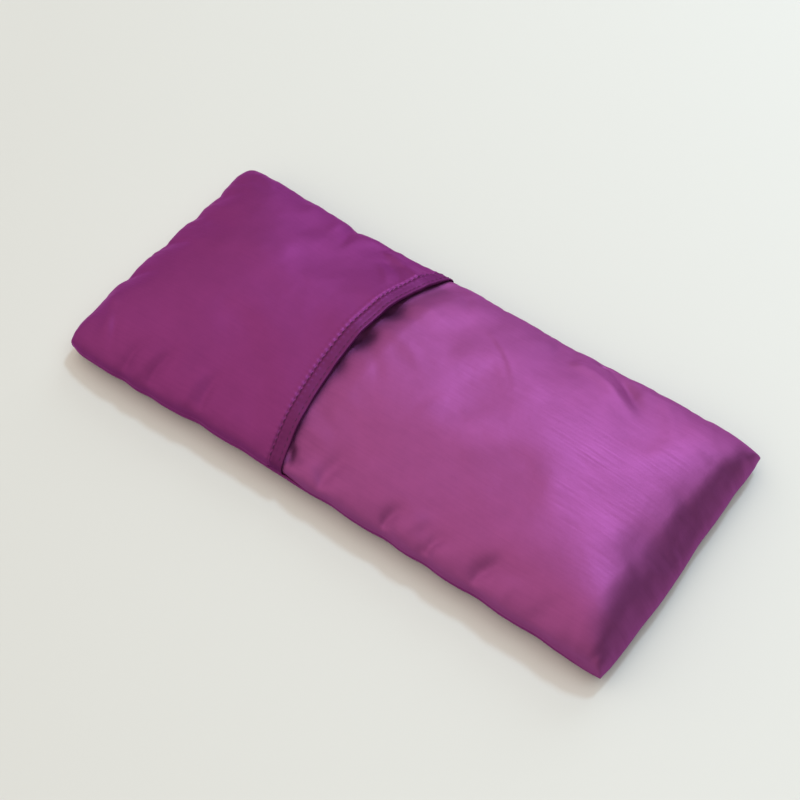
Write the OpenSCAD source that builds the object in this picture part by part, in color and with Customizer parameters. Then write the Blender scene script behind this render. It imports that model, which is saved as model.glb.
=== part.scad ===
// Eye pillow: a seed-filled cotton insert inside a removable satin envelope cover.
// The cover's flap panel comes from the left end (-X) and laps over the front panel,
// which comes from the right end (+X). Origin: middle of the resting face, +Z up.

/* [Pillow] */
// Length from end seam to end seam, filled
pillow_l = 226; // [200:1:250]
// Width from side seam to side seam, filled
pillow_w = 102; // [90:1:115]
// Height of the perimeter seam above the resting face
seam_z = 7; // [6.5:0.5:8]
// Rise of the crown above the perimeter seam
crown_rise = 17; // [15:0.5:19]
// Radius with which the top rolls over into the perimeter seam
roll_r = 9; // [8:0.5:10]
// Length over which the crown falls away towards each end
end_run = 40; // [34:1:50]
// Plan radius of the four corners
corner_r = 6; // [5:0.5:8]

/* [Cover] */
// Thickness of the satin
satin_t = 0.4; // [0.3:0.05:0.45]
// Distance of the flap's hem from the pillow's middle, along X
hem_x = -17; // [-40:1:0]
// Width of the turned hems
hem_w = 6.5; // [6:0.5:10]
// How far the front panel reaches in under the flap
tuck_l = 34; // [25:1:40]

/* [Insert] */
// Thickness of the cotton
cotton_t = 0.4; // [0.3:0.05:0.45]
// Travel of the insert inside the cover, each way along X
slide_x = 2; // [1:0.5:2]
// Lavender buds across the width of the fill
bud_rows = 4; // [2:1:4]
// Lavender buds along the length of the fill
bud_columns = 9; // [5:1:9]

/* [Stitching] */
// Diameter of the sewing thread
thread_d = 0.3; // [0.25:0.05:0.35]
// Pitch of the stitches in the flap's hem
hem_pitch = 2.4; // [2.2:0.1:3]
// Pitch of the stitches in the perimeter seams
seam_pitch = 3.2; // [3:0.1:4]

/* [Hidden] */
$fn = 64;
half_l = pillow_l / 2;
half_w = pillow_w / 2;
// Space between layers that only lie on each other
layer_gap = 0.05;
// Space between bodies that move against each other
free_gap = 0.3;
// How far a cutter stands over the face that it opens
cut_over = 0.001;
// Share of a pitch that a stitch covers
stitch_share = 0.75;
// Distance of a hem's stitches from the hem's edge
stitch_inset = 1.2;

// Depths are measured inwards from the outer surface of the cover
hem_depth = 3 * satin_t;
front_depth = hem_depth + free_gap;
front_hem_depth = front_depth + satin_t + layer_gap;
insert_depth = front_depth + 3 * satin_t + 0.5;
fill_depth = insert_depth + cotton_t + thread_d + 2 * layer_gap;
// Extra distance between the insert and each end of the cover
end_room = slide_x + 0.8;
// Height of the insert's underside
insert_z = satin_t + free_gap;
// Height of the turned-in edges inside the perimeter seam
allowance_h = 4.5;
allowance_depth = satin_t + layer_gap;
allowance_t = 2 * satin_t;
// Depth and drop of the thread behind the perimeter seam
seam_thread_depth = allowance_depth + allowance_t + layer_gap + thread_d / 2;
seam_thread_drop = 1.5;
// Stretch without stitches at each corner
corner_free = 12;
// Length of a stitch over the closed end of the insert
closing_stitch_l = 2.4;
// Size of one lavender bud, the room around it and its middle height above the seam
bud_d = 2;
bud_l = 5;
bud_room = 0.1;
bud_level = 4;
golden_angle = 137.5;
// Left end of the front panel, under the flap, and the step down to it
tuck_x = hem_x - tuck_l;
step_x = hem_x + 2 * free_gap;

// How far the centre of the shallow top arc lies below the seam, for a given run
function crown_drop(run) =
    (pow(run - roll_r, 2) - pow(crown_rise - roll_r, 2)) / (2 * (crown_rise - roll_r));
// Angle from the vertical at which the top arc meets the roll
function roll_angle(run) = atan((run - roll_r) / crown_drop(run));

// One half of the arched section above the seam: a shallow arc that runs smoothly
// into a tight roll. The section ends at half, the arc falls over run.
module half_arch(half, run, depth) {
    drop = crown_drop(run);
    arc_r = crown_rise + drop;
    reach = 2 * arc_r;
    angle = roll_angle(run);
    intersection() {
        union() {
            translate([half - roll_r, 0]) circle(r = roll_r - depth);
            intersection() {
                translate([half - run, -drop]) circle(r = arc_r - depth);
                translate([half - run, -drop])
                    polygon([[0, 0], [reach * sin(angle), reach * cos(angle)], [0, reach]]);
            }
        }
        square([half, crown_rise]);
    }
}

// The whole arched section, level between its two shallow arcs
module arch(half, run, depth) {
    half_arch(half, run, depth);
    mirror([1, 0]) half_arch(half, run, depth);
    if (half > run)
        translate([-(half - run), 0]) square([2 * (half - run), crown_rise - depth]);
}

// Outline of the pillow from above
module outline(long, wide, r) {
    union() {
        square([2 * long, 2 * (wide - r)], center = true);
        square([2 * (long - r), 2 * wide], center = true);
        for (sx = [-1, 1], sy = [-1, 1])
            translate([sx * (long - r), sy * (wide - r)]) circle(r = r);
    }
}

// Solid above the seam, with its surface at a depth and its ends drawn in by a room
module cap(depth, room = 0) {
    long = half_l - room;
    intersection() {
        translate([0, half_w, seam_z]) rotate([90, 0, 0])
            linear_extrude(height = pillow_w) arch(long, end_run, depth);
        translate([-half_l, 0, seam_z]) rotate([90, 0, 90])
            linear_extrude(height = pillow_l) arch(half_w, half_w, depth);
        translate([0, 0, seam_z])
            linear_extrude(height = crown_rise)
                outline(long - depth, half_w - depth, corner_r - depth);
    }
}

// Section below the seam: flat underneath, with lower edges rounded up to the seam.
// A cutter stands over the seam by a little, to leave its solid open there.
module base_section(half, bottom, over) {
    r = seam_z - bottom;
    translate([r - half, bottom]) square([2 * (half - r), r + over]);
    for (s = [-1, 1])
        translate([s * (half - r), seam_z]) intersection() {
            circle(r = r);
            translate([-r, -r]) square([2 * r, r]);
        }
    if (over > 0)
        translate([-half, seam_z]) square([2 * half, over]);
}

// Solid below the seam
module base(long, wide, bottom, plan_r, over = 0) {
    intersection() {
        translate([0, wide, 0]) rotate([90, 0, 0])
            linear_extrude(height = 2 * wide) base_section(long, bottom, over);
        translate([-long, 0, 0]) rotate([90, 0, 90])
            linear_extrude(height = 2 * long) base_section(wide, bottom, over);
        linear_extrude(height = seam_z + over) outline(long, wide, plan_r);
    }
}

module cover_base(depth, over = 0) {
    base(half_l - depth, half_w - depth, depth, corner_r - depth, over);
}

// The insert's lower half, with its surface this much inside the insert's own
module insert_base(inside, over = 0) {
    depth = insert_depth + inside;
    base(half_l - end_room - depth, half_w - depth, insert_z + inside, corner_r - depth, over);
}

// Stretch of the pillow between two places along X, above a height
module stretch(from_x, to_x, from_z = 0) {
    translate([from_x, -pillow_w, from_z])
        cube([to_x - from_x, 2 * pillow_w, 2 * (seam_z + crown_rise)]);
}

// Layer of cloth above the seam, open underneath
module layer(depth, t, room = 0) {
    difference() {
        cap(depth, room);
        translate([0, 0, -cut_over]) cap(depth + t, room);
    }
}

// A place on the arched section across the width: [y, height above the seam, slope]
function arch_place(along, depth) =
    let (
        drop = crown_drop(half_w),
        top_r = crown_rise + drop - depth,
        edge_r = roll_r - depth,
        meet = roll_angle(half_w),
        top_l = top_r * meet * PI / 180,
        side = sign(along),
        angle = abs(along) < top_l
            ? abs(along) / top_r * 180 / PI
            : meet + (abs(along) - top_l) / edge_r * 180 / PI
    )
    abs(along) < top_l
        ? [side * top_r * sin(angle), top_r * cos(angle) - drop, side * angle]
        : [side * (half_w - roll_r + edge_r * sin(angle)), edge_r * cos(angle), side * angle];

// Length of the arched section from its crown to the seam
function arch_length(depth) =
    let (meet = roll_angle(half_w))
    ((crown_rise + crown_drop(half_w) - depth) * meet + (roll_r - depth) * (90 - meet)) * PI / 180;

// One stitch along Y
module stitch_y(length) {
    rotate([90, 0, 0]) cylinder(h = length, d = thread_d, center = true);
}

// Row of stitches over the pillow from side to side, on the surface at this depth
module row_across(x, depth) {
    on_top = depth - layer_gap - thread_d / 2;
    count = floor((arch_length(on_top) - hem_pitch) / hem_pitch);
    for (i = [-count : count]) {
        place = arch_place(i * hem_pitch, on_top);
        translate([x, place[0], seam_z + place[1]])
            rotate([-place[2], 0, 0]) stitch_y(stitch_share * hem_pitch);
    }
}

// Straight row of stitches along Y, centred on the pillow
module row_y(x, z, span) {
    count = floor(span / seam_pitch / 2);
    for (i = [-count : count])
        translate([x, i * seam_pitch, z]) stitch_y(stitch_share * seam_pitch);
}

// Straight row of stitches along X, centred on the pillow
module row_x(y, z, span) {
    rotate([0, 0, -90]) row_y(-y, z, span);
}

// Place of the thread inside an edge of the cover that lies at this distance
function inside_edge(half) =
    half - seam_z + sqrt(pow(seam_z - seam_thread_depth, 2) - pow(seam_thread_drop, 2));

// Back panel: the underside of the cover, up to the perimeter seam
module back_panel() {
    color("darkmagenta") difference() {
        cover_base(0);
        cover_base(satin_t, 1);
    }
}

// Front panel: the right end of the top, which steps down and runs in under the flap
module front_panel() {
    color("mediumorchid") union() {
        intersection() {
            layer(0, satin_t);
            stretch(step_x, half_l);
        }
        intersection() {
            layer(0, front_depth + satin_t);
            stretch(step_x, step_x + satin_t);
        }
        intersection() {
            layer(front_depth, satin_t);
            stretch(tuck_x, step_x + satin_t);
        }
    }
}

// Front panel's hidden hem: its end turned under twice
module front_hem() {
    color("orchid") intersection() {
        layer(front_hem_depth, 2 * satin_t);
        stretch(tuck_x, tuck_x + hem_w);
    }
}

module front_hem_stitches() {
    color("plum") row_across(tuck_x + hem_w - stitch_inset, front_depth);
}

// Turned-in edges of the panels, folded down inside the perimeter seam
module cover_seam_allowance() {
    color("purple") intersection() {
        difference() {
            cover_base(allowance_depth);
            cover_base(allowance_depth + allowance_t, 1);
        }
        translate([0, 0, seam_z - allowance_h / 2])
            cube([pillow_l, pillow_w, allowance_h], center = true);
    }
}

module side_seam_stitches() {
    color("plum") for (s = [-1, 1])
        row_x(s * inside_edge(half_w), seam_z - seam_thread_drop, pillow_l - 2 * corner_free);
}

module end_seam_stitches() {
    color("plum") for (s = [-1, 1])
        row_y(s * inside_edge(half_l), seam_z - seam_thread_drop, pillow_w - 2 * corner_free);
}

// Flap panel: the left end of the top, free at its right-hand hem
module flap_panel() {
    color("purple") intersection() {
        layer(0, satin_t);
        stretch(-half_l, hem_x, seam_z + free_gap);
    }
}

// Flap's hem: its end turned under twice
module flap_hem() {
    color("indigo") intersection() {
        layer(satin_t + layer_gap, hem_depth - satin_t - layer_gap);
        stretch(hem_x - hem_w, hem_x, seam_z + free_gap);
    }
}

module flap_hem_fold_stitches() {
    color("plum") row_across(hem_x - hem_w + stitch_inset, 0);
}

module flap_hem_edge_stitches() {
    color("plum") row_across(hem_x - stitch_inset, 0);
}

module insert_top_panel() {
    color("linen") layer(insert_depth, cotton_t, end_room);
}

module insert_bottom_panel() {
    color("antiquewhite") difference() {
        insert_base(0);
        insert_base(cotton_t, 1);
    }
}

// Machine seam along both sides and the left end of the insert, inside it
module insert_seam_stitches() {
    inside = insert_depth + cotton_t + layer_gap + thread_d / 2;
    color("white") union() {
        for (s = [-1, 1])
            row_x(s * (half_w - inside), seam_z, pillow_l - 2 * (corner_free + end_room));
        row_y(end_room + inside - half_l, seam_z, pillow_w - 2 * corner_free);
    }
}

// Whip stitches that close the right end of the insert after filling
module insert_closing_stitches() {
    x = half_l - end_room - insert_depth + layer_gap + thread_d / 2;
    count = floor((half_w - corner_free) / seam_pitch);
    color("white") for (i = [-count : count])
        translate([x, i * seam_pitch, seam_z])
            cylinder(h = closing_stitch_l, d = thread_d, center = true);
}

// Places of the lavender buds: a grid through the fill, each turned its own way
module bud_places() {
    columns_l = 2 * (half_l - end_run);
    rows_l = half_w;
    for (i = [0 : bud_columns - 1], j = [0 : bud_rows - 1]) {
        turn = (i * bud_rows + j) * golden_angle;
        translate([
            columns_l * ((i + 0.5) / bud_columns - 0.5),
            rows_l * ((j + 0.5) / bud_rows - 0.5),
            seam_z + bud_level * (1 + sin(turn) / 2)
        ])
            rotate([0, 90, turn]) children();
    }
}

// Flax seeds: the bulk of the fill, with room for the lavender buds
module flax_seed_fill() {
    inside = fill_depth - insert_depth;
    color("saddlebrown") difference() {
        union() {
            cap(fill_depth, end_room);
            insert_base(inside);
        }
        bud_places() cylinder(h = bud_l + bud_room, d = bud_d + bud_room, center = true, $fn = 6);
    }
}

module lavender_buds() {
    color("mediumpurple") bud_places() cylinder(h = bud_l, d = bud_d, center = true, $fn = 6);
}

back_panel();
front_panel();
front_hem();
front_hem_stitches();
cover_seam_allowance();
side_seam_stitches();
end_seam_stitches();
flap_panel();
flap_hem();
flap_hem_fold_stitches();
flap_hem_edge_stitches();
insert_top_panel();
insert_bottom_panel();
insert_seam_stitches();
insert_closing_stitches();
flax_seed_fill();
lavender_buds();
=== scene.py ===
"""Eye pillow: satin envelope cover, seed-filled cotton insert. Metres, the CAD frame."""
import math

import bpy
import numpy as np
from mathutils import Matrix, Vector


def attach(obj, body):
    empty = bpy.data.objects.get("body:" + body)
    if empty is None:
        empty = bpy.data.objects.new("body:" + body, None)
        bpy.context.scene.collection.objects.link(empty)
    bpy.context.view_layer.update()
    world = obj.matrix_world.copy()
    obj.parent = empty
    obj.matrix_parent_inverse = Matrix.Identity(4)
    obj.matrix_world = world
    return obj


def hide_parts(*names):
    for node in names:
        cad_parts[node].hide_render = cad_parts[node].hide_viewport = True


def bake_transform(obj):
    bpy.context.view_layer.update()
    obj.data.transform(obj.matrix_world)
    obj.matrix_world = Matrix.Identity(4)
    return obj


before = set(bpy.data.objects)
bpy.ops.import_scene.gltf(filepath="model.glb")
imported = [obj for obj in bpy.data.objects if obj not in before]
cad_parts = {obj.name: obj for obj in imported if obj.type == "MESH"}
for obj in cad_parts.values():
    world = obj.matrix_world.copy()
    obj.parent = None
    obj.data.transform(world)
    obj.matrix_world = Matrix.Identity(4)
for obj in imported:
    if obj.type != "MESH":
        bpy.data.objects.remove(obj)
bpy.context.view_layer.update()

MM = 0.001
HALF_L = 113 * MM
HALF_W = 51 * MM
SEAM_Z = 7 * MM
CROWN = 17.2 * MM
SATIN_T = 0.4 * MM
EPS = 0.02 * MM
# Hem of the flap, in cloth coordinates (u along the pillow, v across it)
HEM_EDGE = -15.0 * MM
HEM_W = 6.5 * MM
HEM_T = 1.3 * MM
FOLD_ROW = HEM_EDGE - 5.6 * MM
EDGE_ROW = HEM_EDGE - 1.6 * MM
FRONT_DEPTH = 1.75 * MM
TUCK = -49.0 * MM
PITCH = 2.4 * MM
SEAM_PITCH = 3.2 * MM


# ---------------------------------------------------------------- form of the filled cover

def smooth(t):
    t = np.clip(t, 0.0, 1.0)
    return t * t * (3 - 2 * t)


def bell(x, width):
    return np.exp(-(x / width) ** 2)


# Notches of the outline where the seam puckers: cloth position, depth, half width
LEFT_NOTCHES = [(-34, 0.5, 4), (-19, 0.9, 3.5), (1, 1.1, 4), (17, 0.7, 3), (31, 0.9, 3.5)]
RIGHT_NOTCHES = [(-27, 0.3, 6), (9, 0.35, 7), (33, 0.3, 5)]
FAR_NOTCHES = [(-88, 0.5, 5), (-57, 1.1, 4), (-33, 0.4, 5), (8, 0.35, 6), (36, 0.5, 6), (53, -0.4, 3),
               (90, 0.4, 6)]
NEAR_NOTCHES = [(-86, 0.7, 4), (-74, 0.5, 3.5), (-53, 0.8, 5), (-33, 0.4, 4), (5, 0.6, 5), (28, 0.7, 5),
                (44, 0.6, 5), (65, 0.7, 6), (88, 0.5, 5)]
# Slow bows of the four sides, outwards positive: middle, swell, half width
NEAR_BOWS = [(-88, 2.3, 34)]
FAR_BOWS = [(-55, -2.8, 38), (30, -1.7, 45)]
LEFT_BOWS = [(-30, 0.8, 22), (23, -1.3, 16)]
RIGHT_BOWS = [(-20, 1.3, 28)]


def bowed(along, bows):
    return sum(swell * MM * bell(along - at * MM, width * MM) for at, swell, width in bows)


def notched(along, notches):
    total = 0.0
    for at, depth, width in notches:
        total = total + depth * MM * bell(along - at * MM, width * MM)
    return total


def plan(u, v):
    """Where a point of the cloth lies seen from above."""
    su, sv = u / HALF_L, v / HALF_W
    across = 1 - sv * sv
    hat = np.where(u < HEM_EDGE, (u + HALF_L) / (HEM_EDGE + HALF_L), (HALF_L - u) / (HALF_L - HEM_EDGE))
    x = u - 5.4 * MM * across * smooth(hat)
    y = v
    du, dv = HALF_L - np.abs(u), HALF_W - np.abs(v)
    round_by = np.where(u < 0, 1.1, 0.5) * MM * bell(du, 4 * MM) * bell(dv, 4 * MM)
    x = x - np.sign(u) * round_by
    y = y - np.sign(v) * round_by
    deep = 42 * MM
    x = x + np.where(u < 0, -bowed(v, LEFT_BOWS), bowed(v, RIGHT_BOWS)) * smooth(1 - du / deep)
    y = y + np.where(v < 0, -bowed(u, NEAR_BOWS), bowed(u, FAR_BOWS)) * smooth(1 - dv / deep)
    from_end = np.exp(-du / (11 * MM))
    from_side = np.exp(-dv / (9 * MM))
    x = x + np.where(u < 0, notched(v, LEFT_NOTCHES), -notched(v, RIGHT_NOTCHES)) * from_end
    y = y + np.where(v < 0, notched(u, NEAR_NOTCHES), -notched(u, FAR_NOTCHES)) * from_side
    return x, y


def rise(distance, run, power, root):
    t = np.clip(distance / run, 0, 1)
    return (1 - (1 - t) ** power) ** root + 1e-9


def droop(u, v):
    """The filling doesn't reach the corners, and they sink towards the table."""
    far = np.hypot(HALF_L - np.abs(u), HALF_W - np.abs(v))
    corner = np.where(u < 0, 2.0, 0.6) * MM
    end = np.where(u > 0, 1.2, 0.0) * MM * bell(HALF_L - u, 12 * MM)
    return corner * bell(far, 13 * MM) + end


def height(top, u, v):
    du, dv = HALF_L - np.abs(u), HALF_W - np.abs(v)
    if top:
        wall = rise(du, (12 - 4 * v / HALF_W) * MM, 2.0, 0.8)
        share = 0.5 + 0.25 * smooth((-v - 5 * MM) / (40 * MM))
        right_end = share * wall + (1 - share) * rise(du, 60 * MM, 2.0, 1.0)
        a = np.where(u < 0, rise(du, 50 * MM, 2.2, 0.62), right_end)
        fuller = 12 * MM * (smooth((u - 35 * MM) / (55 * MM)) + smooth((u - 75 * MM) / (35 * MM))) * (v < 0)
        b = rise(dv, HALF_W - fuller, 2.2, 0.6)
        return SEAM_Z + CROWN * (a ** -3.5 + b ** -3.5 - 1) ** (-1 / 3.5) - droop(u, v)
    a, b = rise(du, 13 * MM, 2.0, 0.5), rise(dv, 12 * MM, 2.0, 0.5)
    return (SEAM_Z - droop(u, v)) * (1 - (a ** -4 + b ** -4 - 1) ** (-1 / 4))


def base(top, u, v):
    x, y = plan(u, v)
    return np.stack([x, y, height(top, u, v)], -1)


# ---------------------------------------------------------------- cloth simulation

def graded(half, count):
    s = np.linspace(-1, 1, count + 1)
    return half * (1.25 * s - 0.25 * s ** 3)


NU, NV = 96, 46
GRID_U, GRID_V = graded(HALF_L, NU), graded(HALF_W, NV)


def simulate():
    """The bag of top and bottom cloth, sewn at its outline, puffed from inside with a little surplus cloth.
    Returns how far each grid point of the top and of the bottom moved."""
    rng = np.random.RandomState(7)
    uu, vv = np.meshgrid(GRID_U, GRID_V, indexing="ij")
    start = [base(True, uu, vv), base(False, uu, vv)]
    n = (NU + 1) * (NV + 1)
    ids = np.arange(n).reshape(NU + 1, NV + 1)
    inner = np.zeros((NU + 1, NV + 1), bool)
    inner[1:-1, 1:-1] = True
    low = ids.copy()
    low[inner] = n + np.arange(int(inner.sum()))
    for grid in start:
        jitter = rng.normal(size=(NU + 1, NV + 1)) * 0.0002
        grid[..., 2] += np.where(inner, jitter, 0)
    co = np.concatenate([start[0].reshape(-1, 3), start[1][inner]])
    faces = []
    for grid, turned in ((ids, False), (low, True)):
        q = np.stack([grid[:-1, :-1], grid[1:, :-1], grid[1:, 1:], grid[:-1, 1:]], -1).reshape(-1, 4)
        faces += (q[:, ::-1] if turned else q).tolist()
    mesh = bpy.data.meshes.new("bag")
    mesh.from_pydata(co.tolist(), [], faces)
    mesh.update()
    bag = bpy.data.objects.new("bag", mesh)
    bpy.context.scene.collection.objects.link(bag)
    pin = bag.vertex_groups.new(name="pin")
    pin.add([int(i) for i in ids[~inner]], 1.0, "REPLACE")
    cloth = bag.modifiers.new("Cloth", "CLOTH")
    s = cloth.settings
    s.quality, s.mass = 5, 0.3
    s.tension_stiffness = s.compression_stiffness = 15
    s.shear_stiffness, s.bending_stiffness = 5, 20
    s.tension_damping = s.compression_damping = s.shear_damping = 5
    s.bending_damping, s.air_damping = 0.5, 1.0
    s.shrink_min = -0.012
    s.vertex_group_mass = "pin"
    s.use_pressure, s.uniform_pressure_force = True, 1.0
    s.effector_weights.gravity = 0
    cloth.collision_settings.use_collision = False
    cloth.collision_settings.use_self_collision = False
    scene = bpy.context.scene
    scene.frame_start, scene.frame_end = 1, 20
    cloth.point_cache.frame_start, cloth.point_cache.frame_end = 1, 20
    for f in range(1, 21):
        scene.frame_set(f)
    settled = bag.evaluated_get(bpy.context.evaluated_depsgraph_get())
    after = np.empty(len(co) * 3)
    settled.data.vertices.foreach_get("co", after)
    after = after.reshape(-1, 3)
    bpy.data.objects.remove(bag)
    bpy.data.meshes.remove(mesh)
    scene.frame_set(1)
    return [after[ids] - start[0], after[low] - start[1]]


def blurred(field, passes):
    out = field.copy()
    for _ in range(passes):
        p = np.pad(out, ((1, 1), (1, 1), (0, 0)), "edge")
        out = (p[:-2, 1:-1] + p[2:, 1:-1] + p[1:-1, :-2] + p[1:-1, 2:] + 2 * p[1:-1, 1:-1]) / 6
    return out


def wrinkles_only(moved, gain, cap):
    """Keeps a simulated field's wrinkles, drops its broad swelling, and caps how far a point may move."""
    fine = (blurred(moved, 1) - blurred(moved, 60)) * gain
    far = np.linalg.norm(fine, axis=-1, keepdims=True)
    fine = fine * cap / np.sqrt(cap * cap + far * far)
    uu, vv = np.meshgrid(GRID_U, GRID_V, indexing="ij")
    edge = np.minimum(HALF_L - np.abs(uu), HALF_W - np.abs(vv))
    return fine * smooth(edge / (4 * MM))[..., None]


FIELDS = [wrinkles_only(f, g, c) for f, g, c in zip(simulate(), (0.75, 0.5), (1.6 * MM, 0.5 * MM))]


def cubic(t):
    return [((2 - t) * t - 1) * t / 2, (t * t * (3 * t - 5) + 2) / 2,
            ((4 - 3 * t) * t + 1) * t / 2, (t - 1) * t * t / 2]


def sampled(field, u, v):
    a = np.interp(u, GRID_U, np.arange(NU + 1))
    b = np.interp(v, GRID_V, np.arange(NV + 1))
    i = np.clip(a.astype(int), 0, NU - 1)
    j = np.clip(b.astype(int), 0, NV - 1)
    wa, wb = cubic(a - i), cubic(b - j)
    total = 0.0
    for k in range(4):
        ii = np.clip(i + k - 1, 0, NU)
        for m in range(4):
            jj = np.clip(j + m - 1, 0, NV)
            total = total + (wa[k] * wb[m])[..., None] * field[ii, jj]
    return total


# ---------------------------------------------------------------- creases and puckers

# Creases of the top, cloth millimetres: (u0, v0, u1, v1, half width, height; negative is a valley)
CREASES = [
    (-109, -28, -95, -50, 2.6, 0.9), (-104, -33, -92, -49, 1.8, -0.6), (-86, -50, -82, -36, 1.8, -0.7),
    (-75, -50, -69, -34, 2.0, -0.7), (-80, -50, -76, -38, 1.8, 0.45), (-53, -50, -50, -33, 2.2, -0.7),
    (-59, -50, -57, -38, 2.0, 0.4), (-108, 40, -98, 30, 2.6, -0.5), (-106, 47, -94, 44, 2.4, 0.7),
    (-60, 50, -52, 34, 2.0, -0.7), (-66, 50, -60, 38, 2.2, 0.4), (-40, 46, -17, 37, 1.6, 0.9),
    (-38, 49, -18, 44, 1.5, -0.5), (-36, 41, -20, 30, 1.8, -0.45), (-34, 37, -24, 26, 1.6, 0.3),
    (15, 34, 42, 8, 1.2, 0.20), (18, 30, 41, 9, 1.2, -0.18), (44, 42, 76, 31, 2.6, 0.9),
    (48, 50, 76, 33, 3.0, -2.0), (80, 46, 90, 34, 2.4, -0.4), (-1, -50, 6, -37, 3.2, -1.3),
    (9, -48, 18, -34, 2.6, 0.45), (26, -50, 31, -42, 2.4, -1.5), (33, -50, 41, -40, 2.4, 0.6),
    (43, -50, 48, -43, 2.2, -1.3), (62, -50, 70, -38, 2.6, -1.2), (72, -50, 80, -40, 2.6, 0.4),
    (86, -50, 92, -40, 2.6, -0.5), (60, -46, 84, -41, 3.0, -0.9), (-14, -45, 8, -41, 5.0, -0.8),
    (111, -20, 100, -16, 2.6, -0.35), (111, 12, 99, 14, 2.8, -0.4), (111, 36, 99, 32, 2.6, -0.4),
    (-112, 1, -100, 3, 2.2, -0.7), (-112, -19, -101, -14, 2.2, -0.6), (-112, 18, -101, 14, 2.0, -0.5),
    (-112, 9, -103, 9, 1.8, 0.35), (-12, 10, 14, 0, 2.6, 0.28), (-12, 1, 3, -13, 2.4, -0.28),
    (-13, 19, 6, 16, 2.4, -0.3), (-12, 27, 12, 24, 3.0, 0.25), (-14, -20, 8, -26, 3.2, 0.3),
    (-13, -29, 0, -35, 2.2, -0.3), (-14, -36, 4, -43, 2.2, 0.4), (-12, -48, -2, -38, 2.6, -0.5),
    (-9, 47, 4, 36, 2.0, -0.45), (30, 50, 38, 40, 2.2, -0.4), (-90, 8, -62, 16, 6.0, 0.25),
    (-70, -14, -42, -22, 6.0, -0.25), (18, -12, 60, -18, 8.0, 0.25),
]


def creased(u, v):
    total = 0.0
    for u0, v0, u1, v1, width, tall in CREASES:
        du, dv = (u1 - u0) * MM, (v1 - v0) * MM
        length = math.hypot(du, dv)
        pu, pv = u - u0 * MM, v - v0 * MM
        along = (pu * du + pv * dv) / length
        bow = 0.06 * length * np.sin(math.pi * along / length)
        aside = (pu * dv - pv * du) / length + bow
        taper = smooth((along + 2 * MM) / (5 * MM)) * smooth((length + 3 * MM - along) / (0.7 * length))
        total = total + tall * MM * taper * bell(aside, width * MM)
    return total


rng_seam = np.random.RandomState(21)


def ripple_set(half, gap):
    """Small puckers along one seam: position, height, half width, slant."""
    at, found = -half + 4 * MM, []
    while at < half - 4 * MM:
        found.append((at, rng_seam.uniform(-0.36, 0.3) * MM, rng_seam.uniform(0.9, 1.8) * MM,
                      rng_seam.uniform(-0.5, 0.5)))
        at += gap * rng_seam.uniform(0.5, 1.5)
    return found


RIPPLES = {key: ripple_set(half, 4.2 * MM) for key, half in
           (("near", HALF_L), ("far", HALF_L), ("left", HALF_W), ("right", HALF_W))}


def rippled(top, u, v):
    total = 0.0
    for key, ripples in RIPPLES.items():
        if key in ("near", "far"):
            along, off = u, HALF_W + (v if key == "near" else -v)
        else:
            along, off = v, HALF_L + (u if key == "left" else -u)
        share = off / (9 * MM)
        fade = np.clip(share * 6, 0, 1) * np.exp(-share * 1.2) * (1 if top else 0.35)
        for at, tall, width, slant in ripples:
            total = total + tall * fade * bell(along - at - slant * off, width * (1 + share))
    return total


def cover(top, u, v):
    """A point of the cover's outer surface before any layer's own depth."""
    u, v = np.broadcast_arrays(np.asarray(u, float), np.asarray(v, float))
    p = base(top, u, v) + sampled(FIELDS[0 if top else 1], u, v)
    edge = np.minimum(HALF_L - np.abs(u), HALF_W - np.abs(v))
    if top:
        p[..., 2] += creased(u, v) * smooth(edge / (2.5 * MM))
    else:
        p[..., 2] = np.maximum(p[..., 2], 0.0) + 0.0
    return p


def surface(top, u, v, point=cover):
    """Points and outward normals at (u, v)."""
    u, v = np.broadcast_arrays(np.asarray(u, float), np.asarray(v, float))
    u0, u1 = np.maximum(u - EPS, -HALF_L), np.minimum(u + EPS, HALF_L)
    v0, v1 = np.maximum(v - EPS, -HALF_W), np.minimum(v + EPS, HALF_W)
    n = np.cross(point(top, u1, v) - point(top, u0, v), point(top, u, v1) - point(top, u, v0))
    n /= np.maximum(np.linalg.norm(n, axis=-1, keepdims=True), 1e-15)
    return point(top, u, v), (n if top else -n)


def outer(top, u, v, off):
    """The cover's surface with its seam puckers, off metres outside it."""
    p, n = surface(top, u, v)
    edge = np.minimum(HALF_L - np.abs(u), HALF_W - np.abs(v))
    swell = (1.5 * MM if top else 0.5 * MM) * (1 - np.exp(-edge / (0.7 * MM))) * np.exp(-edge / (9 * MM))
    swell = swell * (1 - 0.7 * bell(HALF_L - u, 9 * MM))
    return p + n * (off + swell + rippled(top, u, v))[..., None]


# Hollows of the front panel beside the hem: cloth v, depth, half width
DENTS = [(2.5, 2.6, 4.5), (19, 2.2, 4.5), (-12, 0.8, 4)]


def dented(u, v, wider):
    total = 0.0
    for at, depth, width in DENTS:
        total = total + depth * MM * bell(v - at * MM, (width + wider) * MM)
    return total * bell(u - HEM_EDGE + 1 * MM, (4.5 + wider) * MM)


def scaled(kx, ky, ktop, kbottom):
    """The form of a layer further in: the cover's form drawn in towards its middle."""
    def point(top, u, v):
        p = cover(top, u, v)
        if top:
            p[..., 2] -= 1.15 * dented(u, v, 2.2)
        k = ktop if top else kbottom
        return np.stack([p[..., 0] * kx, p[..., 1] * ky, SEAM_Z + (p[..., 2] - SEAM_Z) * k], -1)
    return point


# ---------------------------------------------------------------- meshes

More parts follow.
